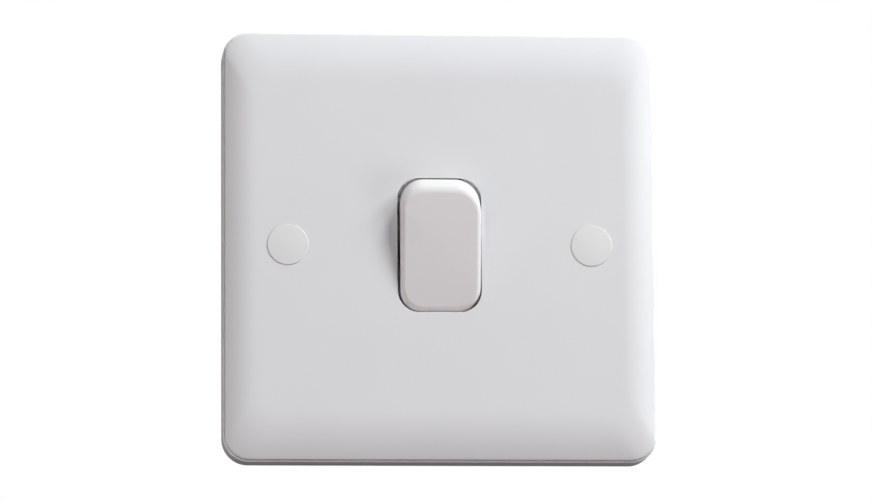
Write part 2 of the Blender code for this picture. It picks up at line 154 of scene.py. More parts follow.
# Terminals and housing
BLOCK_HALF_W = 4.4
BLOCK_LONG = 5.0
CONDUCTOR_Y = 9.5
CONDUCTOR_R = 1.9
CLAMP_R = 1.6
HOUSING_FLOOR = 15.4
FASTENER_X = 15.4
FASTENER_Z = 12.4
TOUCH_GAP = 0.3
HOUSING_CORNER = 2.6
HOUSING_BACK_EDGE = 1.2
STOP_HIGH = 0.62
CHAMBER_HALF_X = 8.3
CHAMBER_HALF_Z = 9.9
ACCESS_R = 2.15
ACCESS_FLOOR = 14.0
ENTRY_R = 2.1
ENTRY_DEEP = 2.5
FASTENER_HOLE_R = 1.7
WELL_R = 2.9
WELL_FLOOR = 1.2
CORE_FLOOR = 1.4
CUT_PAST = 1.0

# Caps
CAP_EDGE = 0.18
CAP_SUNK = 0.06


# Shape tools


def to_object(name, bm, place=None):
    """Closed bmesh in millimetres to an object in metres."""
    if place is not None:
        bmesh.ops.transform(bm, matrix=place, verts=bm.verts)
    bmesh.ops.recalc_face_normals(bm, faces=bm.faces)
    bmesh.ops.scale(bm, vec=(MM, MM, MM), verts=bm.verts)
    mesh = bpy.data.meshes.new(name)
    bm.to_mesh(mesh)
    bm.free()
    made = bpy.data.objects.new(name, mesh)
    bpy.context.scene.collection.objects.link(made)
    return made


def smooth(piece, degrees=34.0):
    piece.data.shade_smooth()
    piece.data.set_sharp_from_angle(angle=math.radians(degrees))


def rounded_outline(half_x, half_z, radius, steps, ease=0.0):
    """Rounded rectangle, its right-hand corners rounder by ease."""
    points = []
    corners = ((1, 1, 0), (-1, 1, 90), (-1, -1, 180), (1, -1, 270))
    for side_x, side_z, start in corners:
        bend = radius + ease if side_x > 0 else radius
        for step in range(steps + 1):
            angle = math.radians(start + 90 * step / steps)
            x = side_x * (half_x - bend) + bend * math.cos(angle)
            z = side_z * (half_z - bend) + bend * math.sin(angle)
            points.append((x, z))
    return points


def skin(rings):
    """Closed bmesh through rings of points, a single point closing an end to a tip."""
    bm = bmesh.new()
    made = [[bm.verts.new(point) for point in ring] for ring in rings]
    for near, far in zip(made, made[1:]):
        count = max(len(near), len(far))
        for i in range(count):
            j = (i + 1) % count
            if len(near) == 1:
                bm.faces.new((near[0], far[i], far[j]))
            elif len(far) == 1:
                bm.faces.new((near[i], near[j], far[0]))
            else:
                bm.faces.new((near[i], near[j], far[j], far[i]))
    for end in (made[0], made[-1]):
        if len(end) > 1:
            bm.faces.new(end)
    return bm


def loft(name, sections, steps=16, place=None):
    """Body through rounded rectangles, each (y, half_x, half_z, radius)."""
    rings = []
    for y, half_x, half_z, radius in sections:
        outline = rounded_outline(half_x, half_z, radius, steps)
        rings.append([(x, y, z) for x, z in outline])
    return to_object(name, skin(rings), place)


def quarter(steps):
    """Angles from 0 to a quarter turn, both included."""
    return [math.radians(90) * step / steps for step in range(steps + 1)]


def circle(radius, y, steps):
    """Ring of points about Y, or the single point that closes an end on the axis."""
    if radius == 0:
        return [(0, y, 0)]
    turns = [2 * math.pi * i / steps for i in range(steps)]
    return [(radius * math.cos(t), y, radius * math.sin(t)) for t in turns]


def flared_hole(radius, floor, surface, edge):
    """Profile of a round cutter from floor out through a surface, its mouth chamfered by edge."""
    past = surface + CUT_PAST
    return [(radius, floor), (radius, surface - edge), (radius + edge + CUT_PAST, past), (0, past)]


def turned(name, profile, steps=64, place=None):
    """Body of revolution about Y through (radius, y) points, axis to axis."""
    rings = [circle(radius, y, steps) for radius, y in profile]
    return to_object(name, skin(rings), place)


def rod(name, radius, start, end, place=None, steps=64):
    return turned(name, [(0, start), (radius, start), (radius, end), (0, end)], steps, place)


def block(name, low, high, bevel=0.0, segments=3):
    bm = bmesh.new()
    bmesh.ops.create_cube(bm, size=1.0)
    bmesh.ops.scale(bm, vec=Vector(high) - Vector(low), verts=bm.verts)
    bmesh.ops.translate(bm, vec=(Vector(high) + Vector(low)) / 2, verts=bm.verts)
    if bevel:
        bmesh.ops.bevel(
            bm, geom=bm.edges[:], offset=bevel, segments=segments, profile=0.5, affect="EDGES"
        )
    return to_object(name, bm)


def reach_on(sign, reach):
    """A stretch out from the middle, on one side, its lower end first."""
    return sorted((sign * reach[0], sign * reach[1]))


def at(x, y, z):
    return Matrix.Translation((x, y, z))


def metres(place):
    """The same placement, for a mesh already in metres."""
    return Matrix.Translation(place.to_translation() * MM) @ place.to_3x3().to_4x4()


ALONG_X = Matrix.Rotation(math.radians(-90), 4, "Z")
ALONG_Z = Matrix.Rotation(math.radians(90), 4, "X")


def carve(body, steps):
    """Applies (operation, tool) pairs in turn and removes the tools."""
    for operation, tool in steps:
        modifier = body.modifiers.new(tool.name, "BOOLEAN")
        modifier.operation = operation
        modifier.object = tool
    graph = bpy.context.evaluated_depsgraph_get()
    carved = bpy.data.meshes.new_from_object(body.evaluated_get(graph))
    body.modifiers.clear()
    body.data = carved
    for _, tool in steps:
        bpy.data.objects.remove(tool, do_unlink=True)


def flatten_shading(body):
    """Weighted normals, so that the flats stay flat beside their rounded edges."""
    modifier = body.modifiers.new("normals", "WEIGHTED_NORMAL")
    modifier.keep_sharp = True
    modifier.weight = 80


def show(piece, node, look):
    """The piece stands for a CAD node: it takes the look, rides on its body and hides the node."""
    piece.data.materials.clear()
    piece.data.materials.append(look)
    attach(piece, BODY_OF[node])
    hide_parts(node)


# Materials

# The middle part of a noise texture's range, where nearly all of its values lie
NOISE_LOW = 0.3
NOISE_HIGH = 0.7
MOTTLE = 0.008
GRAIN = 2600.0
# Where the painted shade on the aperture's walls ends on each axis, and how far inside that it is
# full
GAP_SHADE_LIMITS = (("X", 10.0, 0.6), ("Y", FACE_Y + 0.1, -0.25), ("Z", 14.8, 0.6))
# Colour multiplied into the aperture's walls: painted shade standing for the dark gap round the
# rocker
GAP_SHADE_TINT = (0.22, 0.13, 0.12)


class Nodes:
    """Thin helper over a material's node tree."""

    def __init__(self, name):
        self.material = bpy.data.materials.new(name)
        self.material.use_nodes = True
        self.tree = self.material.node_tree
        self.shader = self.tree.nodes["Principled BSDF"]
        self.place = self.add("ShaderNodeTexCoord").outputs["Object"]

    def add(self, kind, **settings):
        node = self.tree.nodes.new(kind)
        for key, value in settings.items():
            setattr(node, key, value)
        return node

    def link(self, start, end):
        self.tree.links.new(start, end)

    def noise(self, scale, detail=3.0, roughness=0.5, stretch=None):
        node = self.add("ShaderNodeTexNoise")
        node.inputs["Scale"].default_value = scale
        node.inputs["Detail"].default_value = detail
        node.inputs["Roughness"].default_value = roughness
        source = self.place
        if stretch:
            mapping = self.add("ShaderNodeMapping")
            mapping.inputs["Scale"].default_value = stretch
            self.link(self.place, mapping.inputs["Vector"])
            source = mapping.outputs["Vector"]
        self.link(source, node.inputs["Vector"])
        return node.outputs["Fac"]

    def ramp(self, factor, stops):
        node = self.add("ShaderNodeValToRGB")
        elements = node.color_ramp.elements
        while len(elements) < len(stops):
            elements.new(0.5)
        for element, (position, colour) in zip(elements, stops):
            element.position = position
            element.color = (*colour, 1.0)
        self.link(factor, node.inputs["Fac"])
        return node.outputs["Color"]

    def mapped(self, value, near, far, start=0.0, end=1.0):
        """start where the value is near, end where it is far, and held beyond them."""
        node = self.add("ShaderNodeMapRange")
        node.inputs["From Min"].default_value = near
        node.inputs["From Max"].default_value = far
        node.inputs["To Min"].default_value = start
        node.inputs["To Max"].default_value = end
        self.link(value, node.inputs["Value"])
        return node.outputs["Result"]

    def spread(self, noise, low, high):
        return self.mapped(noise, NOISE_LOW, NOISE_HIGH, low, high)

    def combine(self, operation, *values):
        node = self.add("ShaderNodeMath", operation=operation)
        for socket, value in zip(node.inputs, values):
            self.link(value, socket)
        return node.outputs[0]

    def bump(self, height, strength, distance):
        node = self.add("ShaderNodeBump")
        node.inputs["Strength"].default_value = strength
        node.inputs["Distance"].default_value = distance
        self.link(height, node.inputs["Height"])
        return node.outputs["Normal"]

    def darken(self, colour, factor, tint):
        node = self.add("ShaderNodeMix", data_type="RGBA", blend_type="MULTIPLY")
        self.link(factor, node.inputs["Factor"])
        self.link(colour, node.inputs["A"])
        node.inputs["B"].default_value = (*tint, 1.0)
        return node.outputs["Result"]

    def set(self, **values):
        for key, value in values.items():
            self.shader.inputs[key.replace("_", " ")].default_value = value


def shade(colour, factor):
    return tuple(channel * factor for channel in colour)


def gap_shade_mask(n):
    """Mask for painted shade: 1 on the walls of the rocker's aperture, below the plate's face, and
    0 elsewhere.
    """
    parts = n.add("ShaderNodeSeparateXYZ")
    n.link(n.place, parts.inputs["Vector"])
    mask = None
    for axis, edge, fade in GAP_SHADE_LIMITS:
        value = parts.outputs[axis]
        if axis != "Y":
            value = n.combine("ABSOLUTE", value)
        inside = n.mapped(value, edge * MM, (edge - fade) * MM)
        mask = n.combine("MULTIPLY", mask, inside) if mask else inside
    return mask


def moulded(name, colour, gloss, gap_shade=None):
    """Satin moulded plastic: faint clouding, uneven gloss and a slow orange peel, and painted shade
    darkening the aperture's walls when a tint for it is given.
    """
    n = Nodes(name)
    clouds = n.noise(45.0, 4.0)
    base = n.ramp(clouds, [(0.3, shade(colour, 1 - MOTTLE)), (0.7, shade(colour, 1 + MOTTLE))])
    # Painted shade: the aperture's walls darkened towards the tint
    if gap_shade:
        base = n.darken(base, gap_shade_mask(n), gap_shade)
    n.link(base, n.shader.inputs["Base Color"])
    n.link(n.spread(n.noise(90.0, 3.0), gloss - 0.03, gloss + 0.03), n.shader.inputs["Roughness"])
    n.link(n.bump(n.noise(650.0, 2.0), 0.25, 0.000004), n.shader.inputs["Normal"])
    n.set(IOR=1.46)
    return n.material


def sparked(name, colour, rough):
    """Matt moulding with a spark-eroded texture."""
    n = Nodes(name)
    patches = n.noise(60.0, 5.0)
    base = n.ramp(patches, [(0.3, shade(colour, 0.965)), (0.7, shade(colour, 1.03))])
    n.link(base, n.shader.inputs["Base Color"])
    n.link(n.spread(n.noise(900.0, 3.0), rough - 0.06, rough + 0.08), n.shader.inputs["Roughness"])
    n.link(n.bump(n.noise(3600.0, 3.0, 0.6), 0.5, 0.00003), n.shader.inputs["Normal"])
    n.set(IOR=1.5)
    return n.material


def metal(name, colour, dull, rough, stretch=(1.0, 1.0, 1.0)):
    """Metal with a brushed or drawn grain along stretch, and patches of tarnish."""
    n = Nodes(name)
    tarnish = n.noise(210.0, 5.0, 0.6)
    base = n.ramp(tarnish, [(0.35, dull), (0.6, colour), (0.8, shade(colour, 1.04))])
    n.link(base, n.shader.inputs["Base Color"])
    grain = n.noise(GRAIN, 3.0, 0.6, stretch)
    n.link(n.spread(grain, rough - 0.07, rough + 0.1), n.shader.inputs["Roughness"])
    n.link(n.bump(grain, 0.35, 0.000012), n.shader.inputs["Normal"])
    n.set(Metallic=1.0)
    return n.material


# The plate's white carries painted shade on the walls of the rocker's aperture
PLATE = moulded("plate_white", (0.82, 0.835, 0.85), 0.46, gap_shade=GAP_SHADE_TINT)
ROCKER = moulded("rocker_white", (0.83, 0.82, 0.82), 0.44)
CAP = moulded("cap_white", (0.83, 0.845, 0.84), 0.5)
HOUSING = sparked("housing_grey", (0.60, 0.60, 0.585), 0.52)
NYLON = sparked("plunger_nylon", (0.71, 0.69, 0.62), 0.42)
SPRING = metal("spring_steel", (0.60, 0.60, 0.62), (0.42, 0.41, 0.42), 0.28)
COPPER = metal("contact_copper", (0.78, 0.45, 0.28), (0.56, 0.31, 0.2), 0.3, (1.0, 1.0, 0.06))
SILVER = metal("contact_silver", (0.83, 0.82, 0.78), (0.66, 0.64, 0.58), 0.24)
BRASS = metal("terminal_brass", (0.79, 0.61, 0.31), (0.6, 0.45, 0.22), 0.27, (0.08, 1.0, 1.0))
ZINC = metal("zinc_steel", (0.69, 0.69, 0.68), (0.5, 0.5, 0.5), 0.3)


# Plate


def rounded_edge(y, half, radius, corner, steps=6):
    """Rings that turn a side wall into a ledge at y."""
    rings = []
    for turn in quarter(steps):
        edge = half - radius * (1 - math.cos(turn))
        rings.append((y + radius * (1 - math.sin(turn)), edge, edge, corner))
    return rings


def arc_radius(width, drop):
    return (width * width + drop * drop) / (2 * drop)


def plate_sections():
    """Rim wall, ledge, shadow groove, then a shallow cushion up to the flat face."""
    sections = []
    for y, inset, ease in ((0.0, 0.3, 0.3), (-0.1, 0.09, 0.1), (-0.3, 0.0, 0.0)):
        sections.append((y, PLATE_HALF - inset, PLATE_HALF - inset, PLATE_CORNER - ease))
    sections += rounded_edge(-RIM_HIGH, PLATE_HALF, LEDGE, PLATE_CORNER)
    outer = PLATE_HALF - LEDGE
    foot = GROOVE_DEEP - RIM_HIGH
    sections.append((foot, outer - 0.03, outer - 0.03, PLATE_CORNER - LEDGE))
    inner = outer - GROOVE_WIDE
    corner = PLATE_CORNER - LEDGE - GROOVE_WIDE
    sections.append((foot, inner, inner, corner))
    shoulder = FACE_Y + CUSHION_DROP
    sections.append((shoulder + 0.22, inner - 0.02, inner - 0.02, corner))
    sections.append((shoulder + 0.08, inner - 0.06, inner - 0.06, corner))
    end = inner - 0.16
    bend_x = arc_radius(end - FLAT_X, CUSHION_DROP)
    bend_z = arc_radius(end - FLAT_Z, CUSHION_DROP)
    sweep = math.asin((end - FLAT_X) / bend_x)
    steps = 30
    for step in range(steps + 1):
        drop = bend_x * (1 - math.cos(sweep * (1 - step / steps)))
        half_x = FLAT_X + math.sqrt(max(0.0, drop * (2 * bend_x - drop)))
        half_z = FLAT_Z + math.sqrt(max(0.0, drop * (2 * bend_z - drop)))
        sections.append((FACE_Y + drop, half_x, half_z, corner))
    return sections


def hollow_sections():
    """Straight walls inside the rim, then a curve in to the back of the face."""
    ceiling = FACE_Y + FACE_THICK
    lip = PLATE_HALF - WALL_THICK
    corner = PLATE_CORNER - WALL_THICK + HOLLOW_EASE
    sections = [(1.0, lip + 0.25, lip + 0.25, corner), (-0.25, lip, lip, corner)]
    sections.append((HOLLOW_BEND, lip, lip, corner))
    for turn in quarter(10)[1:]:
        inset = 1 - math.cos(turn)
        y = HOLLOW_BEND + (ceiling - HOLLOW_BEND) * math.sin(turn)
        half_x, half_z = lip - HOLLOW_IN_X * inset, lip - HOLLOW_IN_Z * inset
        sections.append((y, half_x, half_z, corner - HOLLOW_EASE * inset))
    return sections


def end_half(depth, radius):
    return math.sqrt(radius * radius - depth * depth)


def aperture_sections():
    """Ends on an arc about the pivot, and a small rounded lip at the face."""
    radius = ROCKER_END_R + APERTURE_GAP
    half_x = ROCKER_HALF_W + APERTURE_GAP + APERTURE_SLACK / 2
    face_depth = FACE_Y - PIVOT_Y
    sections = []
    for step in range(7):
        depth = -1.9 + (face_depth + LIP + 1.9) * step / 6
        sections.append((PIVOT_Y + depth, half_x, end_half(depth, radius), APERTURE_CORNER))
    for turn in quarter(7)[1:]:
        flare = LIP * (1 - math.cos(turn))
        depth = face_depth + LIP * (1 - math.sin(turn))
        half_z = end_half(depth, radius) + flare
        sections.append((PIVOT_Y + depth, half_x + flare, half_z, APERTURE_CORNER + flare))
    wide = sections[-1]
    sections.append((FACE_Y - 1.0, wide[1] + 0.02, wide[2] + 0.02, wide[3]))
    return sections


def flared_profile(radius, lip, deep, start):
    """Profile of a round cutter whose mouth at y = start is rounded by lip."""
    profile = [(0, start - 1.0), (radius + lip + 0.02, start - 1.0)]
    for step in range(6):
        turn = math.radians(90) * (1 - step / 5)
        flare = lip * (1 - math.cos(turn))
        profile.append((radius + flare, start + lip * (1 - math.sin(turn))))
    profile.append((radius, deep))
    return profile


def make_plate():
    plate = loft("plate_shape", plate_sections(), steps=22)
    ceiling = FACE_Y + FACE_THICK
    root = ceiling - 0.8
    steps = [("DIFFERENCE", loft("hollow", hollow_sections(), steps=14))]
    slot_half = TRUNNION_R + 0.15
    for sign in (-1, 1):
        boss = [
            (0, root),
            (BOSS_R + 0.25, root),
            (BOSS_R + 0.06, BOSS_REAR - 0.3),
            (BOSS_R - 0.25, BOSS_REAR),
            (0, BOSS_REAR),
        ]
        steps.append(("UNION", turned("boss", boss, 54, at(sign * SCREW_X, 0, 0))))
        rib_from, rib_to = reach_on(sign, RIB_REACH)
        low, high = (rib_from, root + 0.2, -RIB_HALF), (rib_to, RIB_REAR, RIB_HALF)
        steps.append(("UNION", block("rib", low, high, 0.15, 2)))
        ear_from, ear_to = reach_on(sign, EAR_REACH)
        low, high = (ear_from, root + 0.1, -EAR_HALF), (ear_to, EAR_REAR, EAR_HALF)
        steps.append(("UNION", block("ear", low, high, 0.3, 3)))
        place = at(sign * FASTENER_X, 0, -sign * FASTENER_Z)
        steps.append(("UNION", rod("seat", SEAT_R, root + 0.15, SEAT_REAR, place, 46)))
        steps.append(("DIFFERENCE", rod("pilot", PILOT_R, PILOT_FRONT, 0.0, place, 30)))
    aperture = loft("aperture", aperture_sections(), 14, at(-APERTURE_SLACK / 2, 0, 0))
    steps.append(("DIFFERENCE", aperture))
    recess_floor = FACE_Y + RECESS_DEEP
    for sign in (-1, 1):
        cradle = at(sign * 9.6, PIVOT_Y, 0) @ ALONG_X
        steps.append(("DIFFERENCE", rod("cradle", slot_half, -2.2, 2.2, cradle, 40)))
        slot_from, slot_to = reach_on(sign, SLOT_REACH)
        low = (slot_from, PIVOT_Y, -slot_half + 0.01)
        steps.append(("DIFFERENCE", block("slot", low, (slot_to, SLOT_REAR, slot_half - 0.01))))
    for sign in (-1, 1):
        profile = flared_profile(CAP_R + 0.02, 0.03, recess_floor, FACE_Y)
        profile += [
            (COUNTERBORE_R, recess_floor),
            (COUNTERBORE_R, HEAD_SEAT_Y),
            (CLEARANCE_R, HEAD_SEAT_Y),
            (CLEARANCE_R, 1.0),
            (0, 1.0),
        ]
        steps.append(("DIFFERENCE", turned("screw_way", profile, 60, at(sign * SCREW_X, 0, 0))))
    carve(plate, steps)
    smooth(plate, 30)
    flatten_shading(plate)
    show(plate, "front_plate", PLATE)


# Rocker, about its pivot and then turned to its resting place


ROCKER_PLACE = at(0, PIVOT_Y, 0) @ Matrix.Rotation(SWING, 4, "X")


def rocker_sections(inset, front, rear, corner):
    """Sides rounded by a quarter ellipse, ends by an arc that runs on into the end's own curve."""
    sections = []
    start = front + EDGE_DEEP
    reach = end_half(start, ROCKER_END_R - inset)
    lean = math.atan2(reach, -start)
    bend = EDGE_DEEP / (1 - math.cos(lean))
    for turn in quarter(18):
        fall = EDGE_DEEP * (1 - math.cos(turn))
        pulled = 1 - math.sin(turn)
        half_x = ROCKER_HALF_W - inset - EDGE_SIDE * pulled
        half_z = reach - bend * (math.sin(lean) - math.sin(math.acos(1 - fall / bend)))
        sections.append((front + fall, half_x, half_z, corner - 0.8 * pulled))
    body_steps = 5
    for step in range(1, body_steps + 1):
        depth = start + (rear - start) * step / body_steps
        sections.append(
            (depth, ROCKER_HALF_W - inset, end_half(depth, ROCKER_END_R - inset), corner)
        )
    return sections


def crowned(rings):
    """The rings with inner ones over the front face, then bent back towards the ends."""
    y = rings[0][0][1]
    inner = [[(x * size, y, z * size) for x, _, z in rings[0]] for size in (0.25, 0.5, 0.75)]
    bent = []
    for ring in [[(0, y, 0)]] + inner + rings:
        fade = 1 - min(1.0, (ring[0][1] - y) / EDGE_DEEP)
        bent.append([(x, v + fade * CROWN * (z / ROCKER_END_R) ** 2, z) for x, v, z in ring])
    return bent


def make_rocker():
    rings = []
    for y, half_x, half_z, corner in rocker_sections(0.0, ROCKER_FRONT, ROCKER_REAR, ROCKER_CORNER):
        outline = rounded_outline(half_x - ROCKER_SLACK / 2, half_z, corner, 18, CORNER_EASE)
        rings.append([(x + ROCKER_SLACK / 2, y, z) for x, z in outline])
    rocker = to_object("rocker_shape", skin(crowned(rings)))
    inner_front = ROCKER_FRONT + ROCKER_WALL
    inside = rocker_sections(ROCKER_WALL, inner_front, 1.0, ROCKER_CORNER - ROCKER_WALL)
    steps = [("DIFFERENCE", loft("inside", inside, steps=10))]
    web = block("web", (-7.0, inner_front - 0.5, -0.6), (7.0, -0.4, 0.6))
    steps.append(("UNION", web))
    steps.append(("UNION", rod("stem", STEM_R, inner_front - 0.45, STEM_END, steps=44)))
    trunnion_high = box_mm("rocker")[1].x
    for sign in (-1, 1):
        lug_place = at(sign * (ROCKER_HALF_W - ROCKER_WALL / 2), 0, 0) @ ALONG_X
        lug_half = ROCKER_WALL / 2 - 0.1
        steps.append(("UNION", rod("lug", 2.6, -lug_half, lug_half, lug_place, 48)))
        middle = sign * (7.0 + trunnion_high) / 2
        reach = (trunnion_high - 7.0) / 2
        pin = [
            (0, -reach),
            (TRUNNION_R - 0.25, -reach),
            (TRUNNION_R, 0.25 - reach),
            (TRUNNION_R, reach - 0.25),
            (TRUNNION_R - 0.25, reach),
            (0, reach),
        ]
        steps.append(("UNION", turned("pin", pin, 40, at(middle, 0, 0) @ ALONG_X)))
    steps.append(("DIFFERENCE", rod("bore", BORE_R, BORE_END, STEM_END + 1, steps=36)))
    carve(rocker, steps)
    rocker.data.transform(metres(ROCKER_PLACE))
    smooth(rocker, 30)
    flatten_shading(rocker)
    show(rocker, "rocker", ROCKER)


def make_plunger():
    profile = [(0, 1.2), (0.6, 1.2), (0.8, 1.4), (0.8, 2.4), (1.55, 2.4), (PLUNGER_R, 2.55)]
    centre = PLUNGER_TIP - PLUNGER_R
    for turn in quarter(16)[:-1]:
        profile.append((PLUNGER_R * math.cos(turn), centre + PLUNGER_R * math.sin(turn)))
    profile.append((0, PLUNGER_TIP))
    plunger = turned("plunger_shape", profile, 48, ROCKER_PLACE)
    smooth(plunger)
    show(plunger, "plunger", NYLON)


def make_spring():
    wire = 0.24
    turns = 6
    low = BORE_END + TOUCH_GAP + wire
    high = 2.4 - TOUCH_GAP - wire
    mean = PLUNGER_R - wire - 0.1
    sides, per_turn = 10, 32
    count = turns * per_turn
    rings = []
    for i in range(count + 1):
        turn = 2 * math.pi * i / per_turn
        out = Vector((math.cos(turn), 0, math.sin(turn)))
        centre = out * mean + Vector((0, low + (high - low) * i / count, 0))
        ring = []
        for side in range(sides):
            around = 2 * math.pi * side / sides
            offset = out * math.cos(around) + Vector((0, math.sin(around), 0))
            ring.append(tuple(centre + offset * wire))
        rings.append(ring)
    spring = to_object("plunger_spring_shape", skin(rings), ROCKER_PLACE)
    smooth(spring)
    show(spring, "plunger_spring", SPRING)
    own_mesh(spring)


# Contacts


def make_contacts():
    blade_place = at(0, FULCRUM_Y, 0) @ Matrix.Rotation(-BLADE_SWING, 4, "X")
    back, thick = -0.35, 0.8
    blade = block("moving_contact_shape", (-2.5, back - thick, -9.4), (2.5, back, 9.4), 0.15, 3)
    ears = block("ears", (-3.7, back - 0.7, -1.3), (3.7, back - 0.1, 1.3), 0.1, 2)
    carve(blade, [("UNION", ears)])
    blade.data.transform(metres(blade_place))
    smooth(blade)
    flatten_shading(blade)
    show(blade, "moving_contact", COPPER)
    tip_z, tip_r = 8.0, 1.5
    for name, sign in (("upper", 1), ("lower", -1)):
        start = back + 0.1
        profile = [(0, start), (tip_r - 0.1, start), (tip_r, start + 0.1)]
        for turn in quarter(8):
            profile.append((tip_r * math.cos(turn) + 1e-4, start + 0.45 + 0.45 * math.sin(turn)))
        profile.append((0, start + 0.9))
        tip = turned(
            "moving_tip_%s_shape" % name, profile, 40, blade_place @ at(0, 0, sign * tip_z)
        )
        smooth(tip, 50)
        show(tip, "moving_tip_" + name, SILVER)
        low, high = box_mm("fixed_tip_" + name)
        flat = [
            (0, low.y),
            (tip_r - 0.2, low.y),
            (tip_r, low.y + 0.15),
            (tip_r, high.y),
            (0, high.y),
        ]
        fixed = turned("fixed_tip_%s_shape" % name, flat, 40, at(0, 0, sign * tip_z))
        smooth(fixed)
        show(fixed, "fixed_tip_" + name, SILVER)
        low, high = box_mm("strip_" + name)
        strip = block("strip_%s_shape" % name, low, high, 0.12, 3)
        smooth(strip)
        flatten_shading(strip)
        show(strip, "strip_" + name, BRASS)


def make_bracket():
    low, high = box_mm("common_bracket")
    base = high.y - 0.8
    bracket = block("common_bracket_shape", (low.x, base, low.z), high, 0.12, 3)
    sections = [((-1.5, base + 0.3), (1.5, base + 0.3), (0.12, low.y), (-0.12, low.y))]
    rings = [[(x, y, z) for z, y in sections[0]] for x in (-2.2, 2.2)]
    carve(bracket, [("UNION", to_object("ridge", skin(rings)))])
    smooth(bracket)
    flatten_shading(bracket)
    show(bracket, "common_bracket", BRASS)


# Screws

# Heads: share of the radius that is flat, height of the dome, radius of the neck.
# Threads: crest radius, root radius, pitch, length of the point.
FIXING_HEAD_HIGH = 2.1
FIXING_HEAD = (0.45, 1.35, 1.55)
FIXING_THREAD = (1.72, 1.42, 0.6, 1.2)
FASTENER_HEAD_HIGH = 1.6
FASTENER_HEAD = (0.5, 1.1, 1.0)
FASTENER_THREAD = (1.27, 0.9, 1.0, 2.0)


def thread_profile(y, turn, pitch, crest, root):
    """Radius of a helical thread at a height and an angle."""
    phase = (y / pitch - turn / (2 * math.pi)) % 1.0
    rise = min(1.0, max(0.0, 1.6 * (1 - abs(2 * phase - 1)) - 0.3))
    return root + (crest - root) * rise


def threaded(name, head, thread, place, steps=36):
    """Head profile to a y, then a thread (start, end, crest, root, pitch, point)."""
    start, end, crest, root, pitch, point = thread
    rings = [circle(radius, y, steps) for radius, y in head]
    way = 1 if end > start else -1
    count = int(abs(end - start) / pitch * 8)
    for i in range(count + 1):
        y = start + (end - start) * i / count
        left = abs(end - y)
        taper = min(1.0, 0.35 + 0.65 * left / point)
        grown = min(1.0, abs(y - start) / (pitch * 1.5))
        ring = []
        for k in range(steps):
            turn = 2 * math.pi * k / steps
            radius = thread_profile(y * way, turn * way, pitch, crest, root)
            radius = (root + (radius - root) * grown) * taper
            ring.append((radius * math.cos(turn), y, radius * math.sin(turn)))
        rings.append(ring)
    rings.append([(0, end, 0)])
    return to_object(name, skin(rings), place)


def slot_tool(width, reach, low, high, turn, place):
    tool = block("slot", (-reach, low, -width / 2), (reach, high, width / 2))
    tool.data.transform(metres(place @ Matrix.Rotation(turn, 4, "Y")))
    return tool


def domed_head(radius, crown, seat, flat, dome, neck):
    """Screw head profile: flat over that share of its radius, a dome, a square seat, the neck."""
    way = 1 if seat > crown else -1
    start = crown + 0.02 * way
    head = [(0, crown), (radius * flat, start)]
    for turn in quarter(8):
        edge = radius * (flat + (1 - flat) * math.sin(turn))
        head.append((edge, start + way * dome * (1 - math.cos(turn))))
    return head + [(radius, seat - 0.1 * way), (radius - 0.1, seat), (neck, seat)]


def make_screws():
    for side, slot_turn in (("left", 0.45), ("right", 1.1)):
        node = "fixing_screw_" + side
        low, high = box_mm(node)
        place = at((low.x + high.x) / 2, 0, 0)
        radius = (high.x - low.x) / 2
        crown, seat = low.y, low.y + FIXING_HEAD_HIGH
        head = domed_head(radius, crown, seat, *FIXING_HEAD)
        screw = threaded(node + "_shape", head, (seat + 0.3, high.y, *FIXING_THREAD), place)
        slot = slot_tool(0.9, radius + 1, crown - 1, crown + 1.1, slot_turn, place)
        carve(screw, [("DIFFERENCE", slot)])
        smooth(screw, 42)
        show(screw, node, ZINC)
    for name, slot_turn in (("upper", 0.3), ("lower", 0.9)):
        node = "housing_screw_" + name
        low, high = box_mm(node)
        place = at((low.x + high.x) / 2, 0, (low.z + high.z) / 2)
        crown, seat = high.y, high.y - FASTENER_HEAD_HIGH
        head = domed_head((high.x - low.x) / 2, crown, seat, *FASTENER_HEAD)
        screw = threaded(node + "_shape", head, (seat - 0.3, low.y, *FASTENER_THREAD), place)
        cross = []
        for extra in (0.0, math.radians(90)):
            arm = slot_tool(0.6, 1.5, crown - 0.9, crown + 1, slot_turn + extra, place)
            cross.append(("DIFFERENCE", arm))
        carve(screw, cross)
        smooth(screw, 42)
        show(screw, node, ZINC)


def make_terminals():
    for name in ("upper", "lower", "common"):
        node = "terminal_" + name
        low, high = box_mm(node)
        middle = (low + high) / 2
        along_x = high.x - low.x < high.z - low.z
        body = block(node + "_shape", low, high, 0.25, 3)
        turn = at(middle.x, CONDUCTOR_Y, middle.z) @ (ALONG_X if along_x else ALONG_Z)
        half = BLOCK_LONG / 2
        way = [(0, -half - 1)]
        way += [(CONDUCTOR_R + 1.25, -half - 1), (CONDUCTOR_R, -half + 0.25)]
        way += [(CONDUCTOR_R, half - 0.25), (CONDUCTOR_R + 1.25, half + 1), (0, half + 1)]
        tapped = [(0, CONDUCTOR_Y)] + flared_hole(CLAMP_R + 0.15, CONDUCTOR_Y, high.y, 0.3)
        carve(
            body,
            [
                ("DIFFERENCE", turned("way", way, 48, turn)),
                ("DIFFERENCE", turned("tapped", tapped, 40, at(middle.x, 0, middle.z))),
            ],
        )
        smooth(body, 30)
        flatten_shading(body)
        show(body, node, BRASS)
        node = "clamp_screw_" + name
        low, high = box_mm(node)
        x, z = (low.x + high.x) / 2, (low.z + high.z) / 2
        top = high.y
        head = [(0, top), (CLAMP_R - 0.35, top), (CLAMP_R - 0.05, top - 0.25)]
        head += [(CLAMP_R, top - 0.35), (CLAMP_R, top - 1.3)]
        thread = (top - 1.5, low.y, CLAMP_R, CLAMP_R - 0.3, 0.6, 0.8)
        screw = threaded(node + "_shape", head, thread, at(x, 0, z), 32)
        turn = {"upper": 0.35, "lower": 1.25, "common": 0.8}[name]
        tool = slot_tool(0.6, 2.2, top - 0.9, top + 1, turn, at(x, 0, z))
        carve(screw, [("DIFFERENCE", tool)])
        smooth(screw, 42)
        show(screw, node, ZINC)


# Housing


